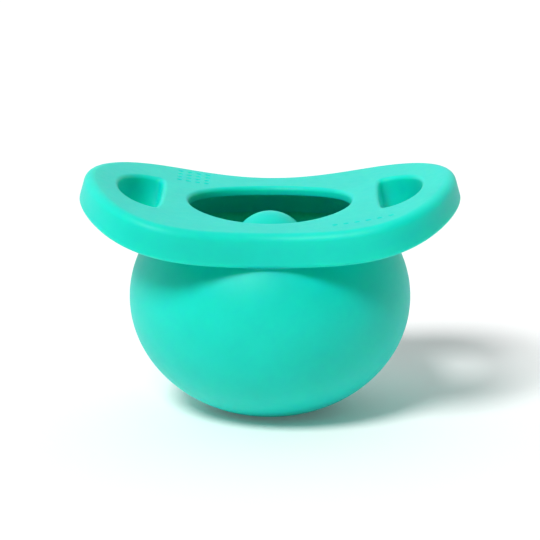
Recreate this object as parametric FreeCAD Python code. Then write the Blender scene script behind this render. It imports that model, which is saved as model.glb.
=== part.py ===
"""Self-closing silicone pacifier: a bent mouth shield on a hollow bulb, with a nipple that pops in and out.

Millimetres, +Z up along the nipple, +X along the shield's long side. The origin is the centre of the flat foot
that the bulb stands on. The nipple is modelled in its closed place, inside the bulb.
"""
import FreeCAD
import Part
import math
import os
from FreeCAD import Vector

# ---- bulb: a spheroid cut off by its flat foot and by the shield ----
BULB_RADIUS = 22.2
BULB_HALF_HEIGHT = 19.0
BULB_MIDDLE = 18.0          # height of its widest line above the foot
WALL = 1.6                  # at the widest line
FLOOR_WALL = 1.6            # at the bottom
HOLLOW_RISE = 18.4          # from the widest line to where the hollow would close at the top
COLLAR_FLARE = 0.3          # fillet from the bulb into the shield's underside
COLLAR_DEPTH = 2.3          # of the collar below the shield's underside, at the middle

# ---- shield: a plate bent up at both ends, with walls that lean out towards the back ----
FACE_HEIGHT = 32.75         # of the face side, at the middle
THICKNESS = 5.32            # at the middle
BEND_REACH = 30.0           # distance from the middle at which the next four rises are counted
FACE_BEND = 5.15            # rise of the face side that grows with the square of the distance
FACE_CURL = 1.07            # rise that grows with its fourth power
BACK_BEND = 4.68
BACK_CURL = 1.8
HALF_LENGTH = 28.7          # middle to wing end, on the face side
WALL_LEAN = 0.28            # how far the wall at the wing's end leans out, per unit of depth
HALF_WIDTH = 20.5           # at the waist
WING_GAIN = 12.8            # widening towards the wings, with the square of the distance
WING_LOSS = 9.75            # narrowing, with its fourth power
END_POWER = 3.13            # how late the wing's end starts to round
FACE_EDGE_RADIUS = 1.35
BACK_EDGE_RADIUS = 0.7

# ---- round opening in the middle, undercut by the bulb's hollow ----
OPENING_RADIUS = 12.8
OPENING_LIP = 0.7
LIP_THICKNESS = 1.4         # what the hollow leaves of the shield round the opening

# ---- D-shaped vent slots in the wings ----
SLOT_INNER = 17.0           # straight side, from the middle
SLOT_OUTER = 23.75          # end of the rounded side
SLOT_HALF_WIDTH = 10.1
SLOT_INNER_POWER = 28       # how square the two inner corners are
SLOT_OUTER_POWER = 2.46     # how late the outer side starts to round
SLOT_LIP = 0.7
SLOT_BACK_LIP = 0.5

# ---- two groups of small dimples in the face side ----
DIMPLE_BALL = 0.5
DIMPLE_DEPTH = 0.3
BLOCK_MIDDLE = (-12.6, 15.2)
BLOCK_COLUMNS = 4
BLOCK_ROWS = 4
BLOCK_PITCH = (1.45, 2.1)
ROW_MIDDLE = (14.3, -16.4)
ROW_COLUMNS = 6
ROW_PITCH = 1.7

# ---- moving middle: pad and nipple ----
PAD_RADIUS = 7.4
PAD_GAP = 0.05              # half of the gap between the pad and the rolling wall
PAD_TOP = 3.0
VENT_RADIUS = 1.0
ROOT_RADIUS = 6.8
ROOT_RIM = 0.7
ROOT_TOP = 8.0
NECK_FOOT_RADIUS = 4.4
NECK_RADIUS = 4.1
NECK_TOP = 17.5
TIP_RADIUS = 5.9
TIP_TOP = 31.6
NECK_BORE = 2.6
TIP_WALL = 1.5

# ---- worked out from the above ----
BACK_HEIGHT = FACE_HEIGHT - THICKNESS
COLLAR_FOOT = BACK_HEIGHT - COLLAR_DEPTH
TIP_MIDDLE = TIP_TOP - TIP_RADIUS

SPAN = 60.0                 # reach of the cutting tools, larger than the whole part
BEND_RANGE = 36             # the bent surfaces are worked out this far from the middle
BEND_STEP = 4
PUNCH_BELOW = 4             # how far the cutting outlines lie below and above the shield
PUNCH_ABOVE = 12
Z_AXIS = Vector(0, 0, 1)
ORIGIN = Vector(0, 0, 0)


def face_height(x):
    """Height of the shield's face side."""
    share = x / BEND_REACH
    return FACE_HEIGHT + FACE_BEND * share**2 + FACE_CURL * share**4


def back_height(x):
    """Height of the shield's underside."""
    share = x / BEND_REACH
    return BACK_HEIGHT + BACK_BEND * share**2 + BACK_CURL * share**4


def lip_underside(x):
    """Height up to which the bulb's hollow may cut the shield."""
    return face_height(x) - LIP_THICKNESS


# ---- shapes used by several parts ----
def line(a, b):
    return Part.LineSegment(Vector(a[0], 0, a[1]), Vector(b[0], 0, b[1])).toShape()


def turned(edges):
    """Solid of revolution about Z from a closed outline of edges in the XZ plane."""
    return Part.Face(Part.Wire(edges)).revolve(ORIGIN, Z_AXIS, 360)


def cylinder(radius, low, high):
    return Part.makeCylinder(radius, high - low, Vector(0, 0, low))


def slab(low, high):
    """Everything between two heights."""
    return Part.makeBox(2 * SPAN, 2 * SPAN, high - low, Vector(-SPAN, -SPAN, low))


def spheroid(radius, half_height, middle):
    """Solid spheroid about Z."""
    ellipse = Part.Ellipse(
        Vector(radius, 0, middle), Vector(0, 0, middle + half_height), Vector(0, 0, middle)
    )
    half = Part.ArcOfEllipse(ellipse, -math.pi / 2, math.pi / 2).toShape()
    return turned([half, line((0, middle + half_height), (0, middle - half_height))])


def above(height_at):
    """Everything above a surface that is bent along X, up to well over the shield."""
    curve = Part.BSplineCurve()
    places = range(-BEND_RANGE, BEND_RANGE + BEND_STEP, BEND_STEP)
    curve.interpolate([Vector(x, -SPAN, height_at(x)) for x in places])
    ends = [curve.StartPoint, curve.EndPoint]
    tops = [Vector(p.x, p.y, SPAN) for p in ends]
    sides = [
        Part.LineSegment(ends[1], tops[1]).toShape(),
        Part.LineSegment(tops[1], tops[0]).toShape(),
        Part.LineSegment(tops[0], ends[0]).toShape(),
    ]
    return Part.Face(Part.Wire([curve.toShape()] + sides)).extrude(Vector(0, 2 * SPAN, 0))


# ---- shield ----
def outline_width(x):
    """Half of the shield's width."""
    share = abs(x) / HALF_LENGTH
    width = HALF_WIDTH + WING_GAIN * share**2 - WING_LOSS * share**4
    return width * math.sqrt(max(1 - share**END_POWER, 0))


def outline_points(count=28):
    """Points round the shield, closer together towards the wings' ends."""
    points = []
    for side in (1, -1):
        for step in range(count):
            turn = side * math.cos(math.pi * step / count)
            x = HALF_LENGTH * math.copysign(1 - (1 - abs(turn)) ** 1.5, turn)
            points.append((x, side * outline_width(x)))
    return points


def slot_points(side, count=24):
    """Points round a slot: nearly straight towards the middle, rounded towards the wing's end."""
    points = []
    for step in range(-count, count):
        share = (1 - math.cos(math.pi * step / count)) / 2
        inner = 1 - (1 - share) ** SLOT_INNER_POWER
        outer = 1 - share**SLOT_OUTER_POWER
        width = SLOT_HALF_WIDTH * math.sqrt(inner * outer)
        x = SLOT_INNER + (SLOT_OUTER - SLOT_INNER) * share
        points.append((side * x, math.copysign(width, step)))
    return points


def at_height(x, y, height):
    """Where the leaning wall through a point of the face side reaches a height."""
    lean = WALL_LEAN * x / HALF_LENGTH
    return Vector(x + lean * (face_height(x) - height), y, height)


def punch(points):
    """Solid with leaning walls through an outline of the face side."""
    wires = []
    for height in (BACK_HEIGHT - PUNCH_BELOW, FACE_HEIGHT + PUNCH_ABOVE):
        curve = Part.BSplineCurve()
        curve.interpolate([at_height(x, y, height) for x, y in points], PeriodicFlag=True)
        wires.append(Part.Wire(curve.toShape()))
    return Part.makeLoft(wires, True, True)


def side_face(shape, height_at):
    """The shield's face side or underside: the largest face whose corners all lie on that surface."""
    found = [f for f in shape.Faces if all(abs(v.Z - height_at(v.X)) < 1e-3 for v in f.Vertexes)]
    return max(found, key=lambda f: f.Area)


def soften(shape, height_at, rim, opening, slot):
    """Rounds the rim, the opening and the slots of one side of the shield. An opening of 0 stays sharp."""
    shape = shape.makeFillet(rim, side_face(shape, height_at).OuterWire.Edges)
    for radius, is_opening in ((opening, True), (slot, False)):
        if not radius:
            continue
        face = side_face(shape, height_at)
        holes = [w for w in face.Wires if not w.isSame(face.OuterWire)]
        edges = [e for w in holes if (abs(w.BoundBox.Center.x) < 1) == is_opening for e in w.Edges]
        shape = shape.makeFillet(radius, edges)
    return shape


def dimple_group(middle, columns, rows, pitch):
    """Places of an even grid of dimples."""
    places = []
    for column in range(columns):
        for row in range(rows):
            x = middle[0] + pitch[0] * (column - (columns - 1) / 2)
            y = middle[1] + pitch[1] * (row - (rows - 1) / 2)
            places.append((x, y))
    return places


def dimples():
    """Balls that cut a block of dimples at one corner of the face side, and a row at the opposite one."""
    places = dimple_group(BLOCK_MIDDLE, BLOCK_COLUMNS, BLOCK_ROWS, BLOCK_PITCH)
    places += dimple_group(ROW_MIDDLE, ROW_COLUMNS, 1, (ROW_PITCH, 0))
    rise = DIMPLE_BALL - DIMPLE_DEPTH
    return [Part.makeSphere(DIMPLE_BALL, Vector(x, y, face_height(x) + rise)) for x, y in places]


def shield():
    plate = above(back_height).cut(above(face_height))
    shape = plate.common(punch(outline_points()))
    shape = shape.cut(cylinder(OPENING_RADIUS, 0, SPAN))
    for side in (-1, 1):
        shape = shape.cut(punch(slot_points(side)))
    shape = shape.cut(bulb_inside().cut(above(lip_underside)))
    shape = soften(shape, face_height, FACE_EDGE_RADIUS, OPENING_LIP, SLOT_LIP)
    shape = soften(shape, back_height, BACK_EDGE_RADIUS, 0, SLOT_BACK_LIP)
    return shape.cut(dimples())


# ---- bulb ----
def bulb_outside():
    return spheroid(BULB_RADIUS, BULB_HALF_HEIGHT, BULB_MIDDLE)


def bulb_inside():
    """Hollow of the bulb, which reaches up into the shield."""
    radius = BULB_RADIUS - WALL
    lower = spheroid(radius, BULB_MIDDLE - FLOOR_WALL, BULB_MIDDLE).common(slab(0, BULB_MIDDLE))
    upper = spheroid(radius, HOLLOW_RISE, BULB_MIDDLE).common(slab(BULB_MIDDLE, SPAN))
    return lower.fuse(upper)


def bulb_collar():
    """Top of the bulb, flared into the shield's underside."""
    shield_room = above(back_height)
    block_top = 0.9 * SPAN
    block = cylinder(1.2 * BULB_RADIUS, 0, block_top).common(shield_room)
    joined = block.fuse(bulb_outside())
    seam = [
        edge
        for edge in joined.Edges
        if not edge.Degenerated
        and edge.BoundBox.ZMin > COLLAR_FOOT
        and edge.BoundBox.ZMax < block_top
        and edge.BoundBox.XLength < 2 * BULB_RADIUS
    ]
    flared = joined.makeFillet(COLLAR_FLARE, seam)
    room_below = cylinder(BULB_RADIUS, COLLAR_FOOT, SPAN).cut(shield_room)
    return flared.common(room_below).cut(bulb_inside())


def bulb_shoulder():
    wall = bulb_outside().cut(bulb_inside())
    return wall.common(slab(BULB_MIDDLE, COLLAR_FOOT))


def rolling_wall():
    """The lower wall, which turns inside out. It stops short of the pad."""
    wall = bulb_outside().cut(bulb_inside()).common(slab(0, BULB_MIDDLE))
    return wall.cut(cylinder(PAD_RADIUS + PAD_GAP, -1, BULB_MIDDLE))


def push_pad():
    """Thick round middle of the bulb's floor, with the flat foot under it."""
    pad = cylinder(PAD_RADIUS - PAD_GAP, 0, PAD_TOP).common(bulb_outside())
    return pad.cut(nipple_hollow())


# ---- nipple ----
def swelling(foot, foot_radius, middle, radius):
    """Smooth outline from a neck to the widest ring of the tip."""
    rise = middle - foot
    curve = Part.BezierCurve()
    curve.setPoles(
        [
            Vector(foot_radius, 0, foot),
            Vector(foot_radius, 0, foot + 0.45 * rise),
            Vector(radius, 0, foot + 0.55 * rise),
            Vector(radius, 0, middle),
        ]
    )
    return curve.toShape()


def dome(radius, middle):
    slant = radius * math.sqrt(0.5)
    return Part.Arc(
        Vector(radius, 0, middle), Vector(slant, 0, middle + slant), Vector(0, 0, middle + radius)
    ).toShape()


def nipple_hollow():
    """Air space inside the nipple, open through the vent under the pad."""
    inner = TIP_RADIUS - TIP_WALL
    throat = PAD_TOP + 1
    return turned(
        [
            line((0, -1), (VENT_RADIUS, -1)),
            line((VENT_RADIUS, -1), (VENT_RADIUS, PAD_TOP / 2)),
            line((VENT_RADIUS, PAD_TOP / 2), (NECK_BORE, throat)),
            line((NECK_BORE, throat), (NECK_BORE, NECK_TOP)),
            swelling(NECK_TOP, NECK_BORE, TIP_MIDDLE, inner),
            dome(inner, TIP_MIDDLE),
            line((0, TIP_MIDDLE + inner), (0, -1)),
        ]
    )


def nipple_root():
    """Flared foot of the nipple, standing on the pad."""
    rim = PAD_TOP + ROOT_RIM
    rise = ROOT_TOP - rim
    flare = Part.BezierCurve()
    flare.setPoles(
        [
            Vector(ROOT_RADIUS, 0, rim),
            Vector(NECK_FOOT_RADIUS + 0.6, 0, rim + 0.1 * rise),
            Vector(NECK_FOOT_RADIUS, 0, rim + 0.4 * rise),
            Vector(NECK_FOOT_RADIUS, 0, ROOT_TOP),
        ]
    )
    body = turned(
        [
            line((0, PAD_TOP), (ROOT_RADIUS, PAD_TOP)),
            line((ROOT_RADIUS, PAD_TOP), (ROOT_RADIUS, rim)),
            flare.toShape(),
            line((NECK_FOOT_RADIUS, ROOT_TOP), (0, ROOT_TOP)),
            line((0, ROOT_TOP), (0, PAD_TOP)),
        ]
    )
    return body.cut(nipple_hollow())


def nipple_neck():
    body = Part.makeCone(
        NECK_FOOT_RADIUS, NECK_RADIUS, NECK_TOP - ROOT_TOP, Vector(0, 0, ROOT_TOP)
    )
    return body.cut(nipple_hollow())


def nipple_tip():
    body = turned(
        [
            line((0, NECK_TOP), (NECK_RADIUS, NECK_TOP)),
            swelling(NECK_TOP, NECK_RADIUS, TIP_MIDDLE, TIP_RADIUS),
            dome(TIP_RADIUS, TIP_MIDDLE),
            line((0, TIP_TOP), (0, NECK_TOP)),
        ]
    )
    return body.cut(nipple_hollow())


NODES = {
    "shield": shield,
    "bulb_collar": bulb_collar,
    "bulb_shoulder": bulb_shoulder,
    "rolling_wall": rolling_wall,
    "push_pad": push_pad,
    "nipple_root": nipple_root,
    "nipple_neck": nipple_neck,
    "nipple_tip": nipple_tip,
}


def main():
    os.makedirs("parts", exist_ok=True)
    for name, make in NODES.items():
        shape = make().Solids[0]
        shape.exportStep(f"parts/{name}.step")
        box = shape.optimalBoundingBox()
        print(
            f"{name}: valid {shape.isValid()}, {shape.Volume:.1f} mm3, "
            f"x {box.XMin:.2f}..{box.XMax:.2f} y {box.YMin:.2f}..{box.YMax:.2f} "
            f"z {box.ZMin:.2f}..{box.ZMax:.2f}"
        )


main()
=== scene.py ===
"""Looks of the self-closing silicone pacifier: three smooth pieces in place of the eight CAD nodes.

Shapes are worked out in millimetres in the CAD frame, and turned into metres where each mesh is made.
"""
import math

import bmesh
import bpy
import numpy as np
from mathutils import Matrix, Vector
from mathutils.geometry import delaunay_2d_cdt


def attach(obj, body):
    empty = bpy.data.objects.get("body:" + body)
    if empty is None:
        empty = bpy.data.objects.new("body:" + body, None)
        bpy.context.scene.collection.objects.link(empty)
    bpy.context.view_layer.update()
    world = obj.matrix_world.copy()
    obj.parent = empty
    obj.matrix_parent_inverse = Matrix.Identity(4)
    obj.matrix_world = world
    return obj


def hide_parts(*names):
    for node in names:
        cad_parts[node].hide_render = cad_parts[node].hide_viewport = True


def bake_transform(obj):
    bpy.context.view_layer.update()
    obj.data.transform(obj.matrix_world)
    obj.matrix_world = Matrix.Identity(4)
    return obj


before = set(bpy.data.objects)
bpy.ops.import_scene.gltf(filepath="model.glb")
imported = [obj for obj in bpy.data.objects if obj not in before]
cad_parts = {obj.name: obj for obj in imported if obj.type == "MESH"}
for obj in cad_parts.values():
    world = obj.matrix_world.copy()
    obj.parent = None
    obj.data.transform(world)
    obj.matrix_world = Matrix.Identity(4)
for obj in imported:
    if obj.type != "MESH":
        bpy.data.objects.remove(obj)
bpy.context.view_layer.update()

MM = 0.001

# ---- shield ----
FACE_HEIGHT = 32.75
BACK_HEIGHT = 27.43
BEND_REACH = 30.0           # distance from the middle at which the next four rises are counted
FACE_BEND = 5.15
FACE_CURL = 1.07
BACK_BEND = 4.68
BACK_CURL = 1.8
HALF_LENGTH = 28.7
WALL_LEAN = 0.28            # how far the wall at the wing's end leans out, per unit of depth
HALF_WIDTH = 20.5           # at the waist
WING_GAIN = 12.8
WING_LOSS = 9.75
END_POWER = 3.13
FACE_EDGE_RADIUS = 1.35
BACK_EDGE_RADIUS = 0.7
OPENING_RADIUS = 12.8
OPENING_LIP = 0.7
LIP_THICKNESS = 1.4         # what the hollow leaves of the shield round the opening
SLOT_INNER = 17.0
SLOT_OUTER = 23.75
SLOT_HALF_WIDTH = 10.1
SLOT_INNER_POWER = 28
SLOT_OUTER_POWER = 2.46
SLOT_LIP = 0.7
SLOT_BACK_LIP = 0.5
DIMPLE_RADIUS = 0.5
DIMPLE_DEPTH = 0.3
BLOCK_MIDDLE = (-12.6, 15.2)
BLOCK_COLUMNS = 4
BLOCK_ROWS = 4
BLOCK_PITCH = (1.45, 2.1)
ROW_MIDDLE = (14.3, -16.4)
ROW_COLUMNS = 6
ROW_PITCH = 1.7

# ---- bulb ----
BULB_RADIUS = 22.2
BULB_HALF_HEIGHT = 19.0
BULB_MIDDLE = 18.0
WALL = 1.6
HOLLOW_RISE = 18.4          # from the widest line to where the hollow would close at the top
FLARE_RADIUS = 0.3          # fillet between the bulb and the shield's underside
FOOT_SOFTNESS = 0.15        # rounding where the bulb meets its flat foot
VENT_RADIUS = 1.0
VENT_LIP = 0.3
FOOT_GAP = 0.2              # from the vent's lip to the first ring of the foot

# ---- nipple and pad ----
PAD_RADIUS = 7.35
PAD_BOTTOM = 0.3            # hidden in the thickness of the bulb's floor
PAD_TOP = 3.0
PAD_CHAMFER = 1.2           # at the pad's lower edge, hidden in the floor
PAD_EDGE = ((0.0, 0.3), (0.1, 0.08), (0.35, 0.0))   # inwards and down from the pad's top corner
ROOT_RADIUS = 6.8
ROOT_RIM = 0.7
ROOT_TOP = 8.0
NECK_FOOT_RADIUS = 4.4
NECK_RADIUS = 4.1
NECK_TOP = 17.5
TIP_RADIUS = 5.9
TIP_TOP = 31.6
NECK_BORE = 2.6
TIP_WALL = 1.5
TIP_MIDDLE = TIP_TOP - TIP_RADIUS

# ---- fineness of the meshes ----
CAP_PITCH = 0.7
CAP_MARGIN = (3, 4)         # how far outside the shield's length and width its lattice starts
RIM_PITCH = 0.45
HOLE_PITCH = 0.3
GUARD = 0.12                # width of the narrow ring that keeps the shading of a flat side flat
RIM_SAMPLES = 6000          # points along an outline before it is divided evenly
SLOT_SAMPLES = 4000
DIMPLE_AROUND = 20
DIMPLE_SHARES = (1, 0.88, 0.76, 0.62, 0.46, 0.3, 0.14)
BULB_AROUND = 256
BULB_RINGS = 110
NIPPLE_AROUND = 128
LEAN_ROUNDS = 8             # enough for the foot of a leaning wall to settle on the bent underside
SEAM_ROUNDS = 12            # enough for a seam between the bulb and a bent side to settle
SEAM_START = 0.87           # first guess of the seam's radius, as a share of the bulb's
SHARP_ANGLE = math.radians(40)

# ---- silicone ----
TEAL = (0.0, 0.65, 0.54)
TONE_CHANGE = 0.02          # how much lighter or darker the teal gets
TONE_SCALE = 160
GLOSS_SCALE = 900
GRAIN_SCALE = 4500
ROUGHNESS = (0.42, 0.56)
GRAIN_STRENGTH = 0.25
GRAIN_DEPTH = 0.03
SILICONE_IOR = 1.42
SPECULAR_LEVEL = 0.3
LIGHT_REACH = 2.7           # how far light travels inside the silicone
LIGHT_REACH_BY_COLOUR = (0.1, 1.0, 0.5)

# ---- camera, light and floor ----
CAMERA_DISTANCE = 450
CAMERA_PITCH = math.radians(14.74)
CAMERA_TURN = math.radians(-0.81)
CAMERA_TARGET = Vector((0, 0, 18))
AIM_RISE = 4.1              # above the target, which puts the object low in the frame
LENS = 189.5
SENSOR = 36
CLIP_START = 0.01
KEY_AZIMUTH = 32            # degrees, from the camera's side towards the left
KEY_ELEVATION = 50
KEY_SOFTNESS = 20
KEY_STRENGTH = 2.95
SURROUND_DIM = 0.08         # on the camera's side
SURROUND_BRIGHT = 0.9       # behind the object
SURROUND_TOWARD = Vector((-0.15, 0.95, 0.25))
SURROUND_EDGE = -0.3        # how far round towards the camera the brightness starts to rise
FLOOR_REACH = 3.0
FLOOR_GREY = 0.9
FLOOR_ROUGHNESS = 0.9
FLOOR_SPECULAR_LEVEL = 0.2
FLOOR_GLOW = 0.07           # a lit studio sweep, which lightens the contact shadow


# ---- heights and outlines of the shield ----
def face_height(x):
    share = x / BEND_REACH
    return FACE_HEIGHT + FACE_BEND * share**2 + FACE_CURL * share**4


def back_height(x):
    share = x / BEND_REACH
    return BACK_HEIGHT + BACK_BEND * share**2 + BACK_CURL * share**4


def evenly(points, pitch):
    """The same closed outline with its points an even distance apart."""
    closed = np.vstack([points, points[:1]])
    steps = np.linalg.norm(np.diff(closed, axis=0), axis=1)
    along = np.concatenate([[0], np.cumsum(steps)])
    count = int(round(along[-1] / pitch))
    places = np.linspace(0, along[-1], count, endpoint=False)
    return np.column_stack([np.interp(places, along, closed[:, axis]) for axis in (0, 1)])


def outline():
    """The shield's outline on its face side, anticlockwise."""
    turn = np.linspace(0, 2 * math.pi, RIM_SAMPLES, endpoint=False)
    share = np.abs(np.cos(turn))
    share = 1 - (1 - share) ** 1.5
    width = HALF_WIDTH + WING_GAIN * share**2 - WING_LOSS * share**4
    width = width * np.sqrt(np.maximum(1 - share**END_POWER, 0))
    x = HALF_LENGTH * share * np.sign(np.cos(turn))
    return evenly(np.column_stack([x, width * np.sign(np.sin(turn))]), RIM_PITCH)


def opening():
    """The round opening, clockwise."""
    count = int(2 * math.pi * OPENING_RADIUS / HOLE_PITCH)
    turn = -np.linspace(0, 2 * math.pi, count, endpoint=False)
    return OPENING_RADIUS * np.column_stack([np.cos(turn), np.sin(turn)])


def slot(side):
    """One D-shaped vent slot, clockwise."""
    turn = np.linspace(0, 2 * math.pi, SLOT_SAMPLES, endpoint=False)
    share = (1 - np.cos(turn)) / 2
    inner = 1 - (1 - share) ** SLOT_INNER_POWER
    outer = 1 - share**SLOT_OUTER_POWER
    width = SLOT_HALF_WIDTH * np.sqrt(inner * outer)
    x = side * (SLOT_INNER + (SLOT_OUTER - SLOT_INNER) * share)
    return evenly(np.column_stack([x, side * width * np.sign(np.sin(turn))]), HOLE_PITCH)


# ---- edges of the shield, from rings of points ----
def unit(vectors):
    return vectors / np.linalg.norm(vectors, axis=1)[:, None]


def into_material(ring):
    """Level direction from each point of a ring into the material on its left."""
    ahead = np.roll(ring, -1, axis=0) - np.roll(ring, 1, axis=0)
    return unit(np.column_stack([-ahead[:, 1], ahead[:, 0]]))


def along_side(ring, inward, height_at):
    """The same direction, tilted to follow the bent side of the shield."""
    step = 0.01
    rise = (height_at(ring[:, 0] + step * inward[:, 0]) - height_at(ring[:, 0])) / step
    return unit(np.column_stack([inward, rise]))


def rounded_edge(corner, side, wall, radius, count=8):
    """Rings round a circular fillet from the shield's side to its wall, after a guard ring on the side."""
    half = np.arccos(np.clip((side * wall).sum(1), -1, 1))[:, None] / 2
    reach = radius / np.tan(half)
    start = corner + reach * side
    end = corner + reach * wall
    rings = [start + GUARD * side]
    for share in np.linspace(0, 1, count + 1):
        weights = ((1 - share) ** 2, 2 * share * (1 - share) * np.sin(half), share**2)
        total = weights[0] + weights[1] + weights[2]
        rings.append((weights[0] * start + weights[1] * corner + weights[2] * end) / total)
    return rings


def edge_rings(ring, face_radius, back_radius):
    """Rings from the face side over the wall to the underside, round the rim or one of the holes."""
    x = ring[:, 0]
    tilt = WALL_LEAN * x / HALF_LENGTH
    back = back_height(x)
    for _ in range(LEAN_ROUNDS):
        back = back_height(x + tilt * (face_height(x) - back))
    top = np.column_stack([ring, face_height(x)])
    bottom = np.column_stack([x + tilt * (face_height(x) - back), ring[:, 1], back])
    down = unit(np.column_stack([tilt, 0 * x, -1 + 0 * x]))
    face_side = along_side(ring, into_material(ring), face_height)
    back_side = along_side(bottom[:, :2], into_material(bottom[:, :2]), back_height)
    upper = rounded_edge(top, face_side, down, face_radius)
    lower = rounded_edge(bottom, back_side, -down, back_radius)
    for rings, height_at in ((upper, face_height), (lower, back_height)):
        rings[0][:, 2] = height_at(rings[0][:, 0])
        rings[1][:, 2] = height_at(rings[1][:, 0])
    middle = [upper[-1] + (lower[-1] - upper[-1]) * share for share in (0.25, 0.5, 0.75)]
    return upper + middle + lower[::-1]


# ---- meshes from rings, caps and profiles ----
class Mesh:
    """Points and faces gathered from several patches, joined where their points meet."""

    def __init__(self):
        self.points = []
        self.faces = []

    def add(self, points, faces):
        start = len(self.points)
        self.points.extend(tuple(p) for p in points)
        self.faces.extend(tuple(start + corner for corner in face) for face in faces)

    def strip(self, rings):
        """Four-sided faces between each ring and the next."""
        count = len(rings[0])
        faces = []
        for level in range(len(rings) - 1):
            for corner in range(count):
                after = (corner + 1) % count
                low = level * count
                faces.append((low + corner, low + after, low + count + after, low + count + corner))
        self.add(np.vstack(rings), faces)

    def fan(self, ring, tip):
        count = len(ring)
        self.add([*ring, tip], [(corner, (corner + 1) % count, count) for corner in range(count)])

    def piece(self, name, closed=True):
        """A smooth shaded object, in metres. An open shape's faces keep the side they were made with."""
        data = bpy.data.meshes.new(name)
        data.from_pydata([tuple(MM * c for c in p) for p in self.points], [], self.faces)
        work = bmesh.new()
        work.from_mesh(data)
        bmesh.ops.remove_doubles(work, verts=work.verts, dist=1e-7)
        if closed:
            bmesh.ops.recalc_face_normals(work, faces=work.faces)
        work.to_mesh(data)
        work.free()
        data.shade_smooth()
        made = bpy.data.objects.new(name, data)
        bpy.context.scene.collection.objects.link(made)
        return made


def inside(points, ring):
    """Which points lie inside a ring, by counting how often a ray from each crosses it."""
    x, y = points[:, 0:1], points[:, 1:2]
    ax, ay = ring[:, 0], ring[:, 1]
    bx, by = np.roll(ax, -1), np.roll(ay, -1)
    spans = (ay > y) != (by > y)
    rise = np.where(by == ay, 1, by - ay)
    return (spans & (x < ax + (bx - ax) * (y - ay) / rise)).sum(1) % 2 == 1


def lattice(rings, pitch):
    """Evenly spread points inside the first ring, clear of it and of the other rings."""
    row_gap = pitch * math.sqrt(0.75)
    rows = np.arange(-HALF_WIDTH - CAP_MARGIN[1], HALF_WIDTH + CAP_MARGIN[1], row_gap)
    columns = np.arange(-HALF_LENGTH - CAP_MARGIN[0], HALF_LENGTH + CAP_MARGIN[0], pitch)
    grid = np.array(
        [(x + pitch / 2 * (number % 2), y) for number, y in enumerate(rows) for x in columns]
    )
    keep = inside(grid, rings[0])
    for ring in rings[1:]:
        keep &= ~inside(grid, ring)
    grid = grid[keep]
    border = np.vstack(rings)
    near = np.array([np.min(np.sum((border - p) ** 2, axis=1)) for p in grid])
    return grid[near > (0.6 * pitch) ** 2]


def cap(mesh, rings, height_at):
    """Fills one side of the shield between the rim's ring, which is first, and those of the holes."""
    flat = [ring[:, :2] for ring in rings]
    edges = []
    owner = []
    for number, ring in enumerate(flat):
        start = len(owner)
        edges += [(start + i, start + (i + 1) % len(ring)) for i in range(len(ring))]
        owner += [number] * len(ring)
    points = np.vstack([*flat, lattice(flat, CAP_PITCH)])
    corners, _, triangles, sources, _, _ = delaunay_2d_cdt(
        [Vector(p) for p in points], edges, [], 1, 1e-7
    )
    owner += [None] * (len(points) - len(owner))
    ring_of = [owner[source[0]] for source in sources]
    filled = []
    for triangle in triangles:
        kinds = {ring_of[corner] for corner in triangle}
        if len(kinds) > 1 or kinds == {None} or kinds == {0}:
            filled.append(triangle)
    mesh.add([(c.x, c.y, height_at(c.x)) for c in corners], filled)


def dimple_rings(x, y):
    """Rings down a round dimple, anticlockwise, from its edge to near its middle."""
    turn = np.linspace(0, 2 * math.pi, DIMPLE_AROUND, endpoint=False)
    rings = []
    for share in DIMPLE_SHARES:
        px = x + share * DIMPLE_RADIUS * np.cos(turn)
        py = y + share * DIMPLE_RADIUS * np.sin(turn)
        depth = DIMPLE_DEPTH * (1 - share**2)
        rings.append(np.column_stack([px, py, face_height(px) - depth]))
    return rings


def dimple_group(middle, columns, rows, pitch):
    """Places of an even grid of dimples."""
    places = []
    for column in range(columns):
        for row in range(rows):
            x = middle[0] + pitch[0] * (column - (columns - 1) / 2)
            y = middle[1] + pitch[1] * (row - (rows - 1) / 2)
            places.append((x, y))
    return places


def spheroid_reach(height):
    """How far from the middle the bulb's hollow reaches at a height in its upper half."""
    return (BULB_RADIUS - WALL) * np.sqrt(1 - ((height - BULB_MIDDLE) / HOLLOW_RISE) ** 2)


def under_lip(around, reach):
    """Ring on the hollow's ceiling: level with the lip's underside, then down the bulb's hollow."""
    dome = BULB_MIDDLE + HOLLOW_RISE * np.sqrt(1 - (reach / (BULB_RADIUS - WALL)) ** 2)
    height = np.minimum(dome, face_height(reach * around[:, 0]) - LIP_THICKNESS)
    return np.column_stack([around * reach[:, None], height])


def opening_rings():
    """Rings from the face side over the opening's lip, then under it and along the hollow."""
    ring = opening()
    x = ring[:, 0]
    top = np.column_stack([ring, face_height(x)])
    side = along_side(ring, into_material(ring), face_height)
    down = np.tile((0.0, 0.0, -1.0), (len(ring), 1))
    rings = rounded_edge(top, side, down, OPENING_LIP)
    rings[0][:, 2] = face_height(rings[0][:, 0])
    rings[1][:, 2] = face_height(rings[1][:, 0])
    around = unit(ring)
    inner = np.full(len(ring), OPENING_RADIUS)
    rings.append((rings[-1] + under_lip(around, inner)) / 2)
    ledge = inner
    end = inner
    for _ in range(SEAM_ROUNDS):
        ledge = spheroid_reach(face_height(ledge * around[:, 0]) - LIP_THICKNESS)
        ledge = np.maximum(ledge, inner)
        end = spheroid_reach(back_height(end * around[:, 0]))
    for share in (0, 0.5, 1):
        rings.append(under_lip(around, inner + (ledge - inner) * share))
    for share in np.linspace(0, 1, 11)[1:]:
        rings.append(under_lip(around, ledge + (end - ledge) * share))
    return rings


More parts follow.
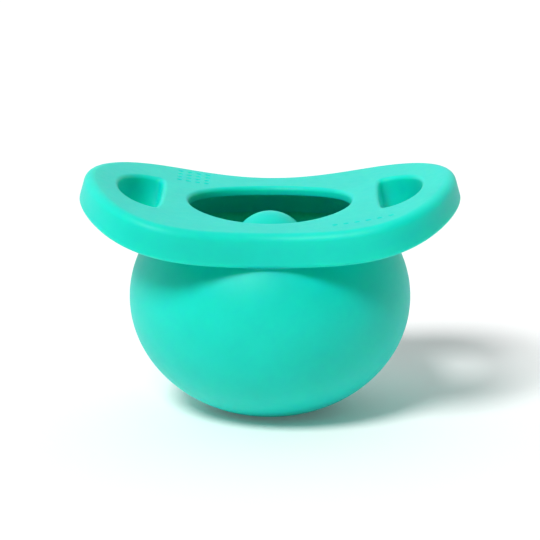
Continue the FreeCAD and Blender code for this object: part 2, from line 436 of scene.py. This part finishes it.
def shield():
    mesh = Mesh()
    edges = [
        edge_rings(outline(), FACE_EDGE_RADIUS, BACK_EDGE_RADIUS),
        opening_rings(),
        edge_rings(slot(-1), SLOT_LIP, SLOT_BACK_LIP),
        edge_rings(slot(1), SLOT_LIP, SLOT_BACK_LIP),
    ]
    for rings in edges:
        mesh.strip(rings)
    face_borders = [rings[0] for rings in edges]
    places = dimple_group(BLOCK_MIDDLE, BLOCK_COLUMNS, BLOCK_ROWS, BLOCK_PITCH)
    places += dimple_group(ROW_MIDDLE, ROW_COLUMNS, 1, (ROW_PITCH, 0))
    for x, y in places:
        rings = dimple_rings(x, y)
        mesh.strip(rings)
        mesh.fan(rings[-1], (x, y, face_height(x) - DIMPLE_DEPTH))
        face_borders.append(rings[0])
    cap(mesh, face_borders, face_height)
    cap(mesh, [rings[-1] for rings in edges], back_height)
    made = mesh.piece("shield_moulding")
    made.data.set_sharp_from_angle(angle=SHARP_ANGLE)
    return made


def bulb_height(lift):
    """Height of the bulb's outer skin at an angle up from its lowest point, level over the foot."""
    height = BULB_MIDDLE - BULB_HALF_HEIGHT * np.cos(lift)
    below = (height + np.sqrt(height**2 + FOOT_SOFTNESS**2)) / 2
    return np.where(height > BULB_MIDDLE / 2, height, below)


def bulb():
    """Outer skin of the bulb from the vent to the shield's underside; its wall is added as a thickness."""
    turn = np.linspace(0, 2 * math.pi, BULB_AROUND, endpoint=False)
    around = np.column_stack([np.cos(turn), np.sin(turn)])

    def ring(radius, height):
        return np.column_stack([around * np.reshape(radius, (-1, 1)), height + 0 * turn])

    seam = SEAM_START * BULB_RADIUS + 0 * turn
    for _ in range(SEAM_ROUNDS):
        rise = (back_height(seam * around[:, 0]) - BULB_MIDDLE) / BULB_HALF_HEIGHT
        seam = BULB_RADIUS * np.sqrt(1 - rise**2)
    corner = ring(seam, back_height(seam * around[:, 0]))
    top_lift = math.pi - np.arcsin(seam / BULB_RADIUS)
    downhill = -BULB_RADIUS * np.cos(top_lift)
    down = unit(np.column_stack([around * downhill[:, None], -BULB_HALF_HEIGHT * np.sin(top_lift)]))
    outward = along_side(corner[:, :2], around, back_height)
    flare = rounded_edge(corner, outward, down, FLARE_RADIUS)
    flare_foot = flare[-1]
    last_lift = math.pi - np.arcsin(np.linalg.norm(flare_foot[:, :2], axis=1) / BULB_RADIUS)

    rings = []
    for share in (0, 0.25, 0.5, 0.75, 1):
        lip = share * math.pi / 2
        radius = VENT_RADIUS + VENT_LIP * (1 - math.cos(lip))
        rings.append(ring(radius, VENT_LIP * (1 - math.sin(lip))))
    first_lift = math.asin((VENT_RADIUS + VENT_LIP + FOOT_GAP) / BULB_RADIUS)
    for share in np.linspace(0, 1, BULB_RINGS):
        lift = first_lift + (last_lift - first_lift) * share
        rings.append(ring(BULB_RADIUS * np.sin(lift), bulb_height(lift)))
    rings += flare[-2::-1]
    mesh = Mesh()
    mesh.strip(rings)
    made = mesh.piece("bulb_moulding", closed=False)
    thickness = made.modifiers.new("wall", "SOLIDIFY")
    thickness.thickness = WALL * MM
    thickness.offset = -1
    return made


def curve(a, b, c, d, count=16):
    """Points along a cubic curve with these four poles."""
    poles = np.array([a, b, c, d])
    shares = np.linspace(0, 1, count + 1)[:, None]
    rest = 1 - shares
    return (
        rest**3 * poles[0]
        + 3 * rest**2 * shares * poles[1]
        + 3 * rest * shares**2 * poles[2]
        + shares**3 * poles[3]
    )


def swelling(foot_radius, radius):
    """From the neck's top to the widest ring of the tip."""
    rise = TIP_MIDDLE - NECK_TOP
    return curve(
        (foot_radius, NECK_TOP),
        (foot_radius, NECK_TOP + 0.45 * rise),
        (radius, NECK_TOP + 0.55 * rise),
        (radius, TIP_MIDDLE),
    )


def dome(radius, count=16):
    turn = np.linspace(0, math.pi / 2, count + 1)[1:]
    return np.column_stack([radius * np.cos(turn), TIP_MIDDLE + radius * np.sin(turn)])


def nipple():
    """Pad, root, neck and tip as one hollow turned shape, open through the vent."""
    rim = PAD_TOP + ROOT_RIM
    rise = ROOT_TOP - rim
    root = curve(
        (ROOT_RADIUS, rim),
        (NECK_FOOT_RADIUS + 0.6, rim + 0.1 * rise),
        (NECK_FOOT_RADIUS, rim + 0.4 * rise),
        (NECK_FOOT_RADIUS, ROOT_TOP),
    )
    outside = np.vstack(
        [
            [(VENT_RADIUS, PAD_BOTTOM), (PAD_RADIUS - PAD_CHAMFER, PAD_BOTTOM)],
            [(PAD_RADIUS, PAD_CHAMFER)],
            [(PAD_RADIUS - inwards, PAD_TOP - down) for inwards, down in PAD_EDGE],
            [(ROOT_RADIUS, PAD_TOP)],
            root,
            [(NECK_RADIUS + 0.15, (ROOT_TOP + NECK_TOP) / 2)],
            swelling(NECK_RADIUS, TIP_RADIUS),
            dome(TIP_RADIUS),
        ]
    )
    inner = TIP_RADIUS - TIP_WALL
    inside_line = np.vstack(
        [
            [(VENT_RADIUS, PAD_BOTTOM), (VENT_RADIUS, PAD_TOP / 2), (NECK_BORE, PAD_TOP + 1)],
            swelling(NECK_BORE, inner),
            dome(inner),
        ]
    )
    turn = np.linspace(0, 2 * math.pi, NIPPLE_AROUND, endpoint=False)
    around = np.column_stack([np.cos(turn), np.sin(turn)])
    mesh = Mesh()
    for line in (outside, inside_line):
        rings = [np.column_stack([around * r, z + 0 * turn]) for r, z in line[:-1]]
        mesh.strip(rings)
        mesh.fan(rings[-1], (0, 0, line[-1][1]))
    made = mesh.piece("nipple_moulding")
    made.data.set_sharp_from_angle(angle=SHARP_ANGLE)
    return made


# ---- material ----
def silicone(name):
    """Satin moulded silicone: light spreads inside it, and its gloss and tone change a little."""
    material = bpy.data.materials.new(name)
    material.use_nodes = True
    nodes = material.node_tree.nodes
    links = material.node_tree.links
    shader = nodes["Principled BSDF"]
    place = nodes.new("ShaderNodeTexCoord")

    def noise(scale, detail):
        """Cloudy pattern fixed to the piece, with this many clouds in a metre."""
        node = nodes.new("ShaderNodeTexNoise")
        node.inputs["Scale"].default_value = scale
        node.inputs["Detail"].default_value = detail
        links.new(place.outputs["Object"], node.inputs["Vector"])
        return node.outputs["Fac"]

    tone = nodes.new("ShaderNodeValToRGB")
    tone.color_ramp.elements[0].position = 0.35
    tone.color_ramp.elements[1].position = 0.65
    tone.color_ramp.elements[0].color = (*[(1 - TONE_CHANGE) * c for c in TEAL], 1)
    tone.color_ramp.elements[1].color = (*[(1 + TONE_CHANGE) * c for c in TEAL], 1)
    links.new(noise(TONE_SCALE, 2), tone.inputs["Fac"])
    links.new(tone.outputs["Color"], shader.inputs["Base Color"])

    gloss = nodes.new("ShaderNodeMapRange")
    gloss.inputs["To Min"].default_value = ROUGHNESS[0]
    gloss.inputs["To Max"].default_value = ROUGHNESS[1]
    links.new(noise(GLOSS_SCALE, 3), gloss.inputs["Value"])
    links.new(gloss.outputs["Result"], shader.inputs["Roughness"])

    grain = nodes.new("ShaderNodeBump")
    grain.inputs["Strength"].default_value = GRAIN_STRENGTH
    grain.inputs["Distance"].default_value = GRAIN_DEPTH * MM
    links.new(noise(GRAIN_SCALE, 2), grain.inputs["Height"])
    links.new(grain.outputs["Normal"], shader.inputs["Normal"])

    shader.inputs["IOR"].default_value = SILICONE_IOR
    shader.inputs["Specular IOR Level"].default_value = SPECULAR_LEVEL
    shader.inputs["Subsurface Weight"].default_value = 1.0
    shader.inputs["Subsurface Radius"].default_value = LIGHT_REACH_BY_COLOUR
    shader.inputs["Subsurface Scale"].default_value = LIGHT_REACH * MM
    return material


# ---- studio ----
def add_camera():
    camera = bpy.data.objects.new("camera", bpy.data.cameras.new("camera"))
    bpy.context.scene.collection.objects.link(camera)
    level = math.cos(CAMERA_PITCH)
    away = Vector(
        (math.sin(CAMERA_TURN) * level, math.cos(CAMERA_TURN) * level, -math.sin(CAMERA_PITCH))
    )
    place = CAMERA_TARGET - away * CAMERA_DISTANCE
    aim = CAMERA_TARGET + Vector((0, 0, AIM_RISE)) - place
    camera.location = place * MM
    camera.rotation_euler = aim.to_track_quat("-Z", "Y").to_euler()
    camera.data.lens = LENS
    camera.data.sensor_width = SENSOR
    camera.data.clip_start = CLIP_START
    bpy.context.scene.camera = camera


def add_key_light():
    """One soft distant lamp."""
    lamp = bpy.data.lights.new("key", "SUN")
    lamp.angle = math.radians(KEY_SOFTNESS)
    lamp.energy = KEY_STRENGTH
    light = bpy.data.objects.new("key", lamp)
    turn = math.radians(KEY_AZIMUTH)
    rise = math.radians(KEY_ELEVATION)
    level = math.cos(rise)
    toward = Vector((-math.sin(turn) * level, -math.cos(turn) * level, math.sin(rise)))
    light.rotation_euler = (-toward).to_track_quat("-Z", "Y").to_euler()
    bpy.context.scene.collection.objects.link(light)


def add_world():
    """Plain white surroundings, bright behind the object and dim on the camera's side."""
    world = bpy.data.worlds.new("studio")
    world.use_nodes = True
    nodes = world.node_tree.nodes
    links = world.node_tree.links
    shader = nodes["Background"]
    shader.inputs["Color"].default_value = (1, 1, 1, 1)
    place = nodes.new("ShaderNodeTexCoord")
    facing = nodes.new("ShaderNodeVectorMath")
    facing.operation = "DOT_PRODUCT"
    facing.inputs[1].default_value = SURROUND_TOWARD.normalized()
    level = nodes.new("ShaderNodeMapRange")
    level.interpolation_type = "SMOOTHSTEP"
    level.inputs["From Min"].default_value = SURROUND_EDGE
    level.inputs["From Max"].default_value = 1
    level.inputs["To Min"].default_value = SURROUND_DIM
    level.inputs["To Max"].default_value = SURROUND_BRIGHT
    links.new(place.outputs["Generated"], facing.inputs[0])
    links.new(facing.outputs["Value"], level.inputs["Value"])
    links.new(level.outputs["Result"], shader.inputs["Strength"])
    bpy.context.scene.world = world


def add_floor():
    data = bpy.data.meshes.new("floor")
    corners = [(FLOOR_REACH * x, FLOOR_REACH * y, 0) for x, y in ((-1, -1), (1, -1), (1, 1), (-1, 1))]
    data.from_pydata(corners, [], [(0, 1, 2, 3)])
    floor = bpy.data.objects.new("floor", data)
    bpy.context.scene.collection.objects.link(floor)
    material = bpy.data.materials.new("floor")
    material.use_nodes = True
    shader = material.node_tree.nodes["Principled BSDF"]
    shader.inputs["Base Color"].default_value = (FLOOR_GREY, FLOOR_GREY, FLOOR_GREY, 1)
    shader.inputs["Roughness"].default_value = FLOOR_ROUGHNESS
    shader.inputs["Emission Color"].default_value = (1, 1, 1, 1)
    shader.inputs["Emission Strength"].default_value = FLOOR_GLOW
    shader.inputs["Specular IOR Level"].default_value = FLOOR_SPECULAR_LEVEL
    data.materials.append(material)


def add_pieces():
    plate = shield()
    plate.data.materials.append(silicone("silicone_shield"))
    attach(plate, "shell")
    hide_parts("shield")
    skin = bulb()
    skin.data.materials.append(silicone("silicone_bulb"))
    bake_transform(skin)
    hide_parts("bulb_collar", "bulb_shoulder", "rolling_wall")
    core = nipple()
    core.data.materials.append(silicone("silicone_nipple"))
    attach(core, "nipple")
    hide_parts("push_pad", "nipple_root", "nipple_neck", "nipple_tip")


add_camera()
add_world()
add_key_light()
add_floor()
add_pieces()
bpy.context.scene.view_settings.view_transform = "Standard"
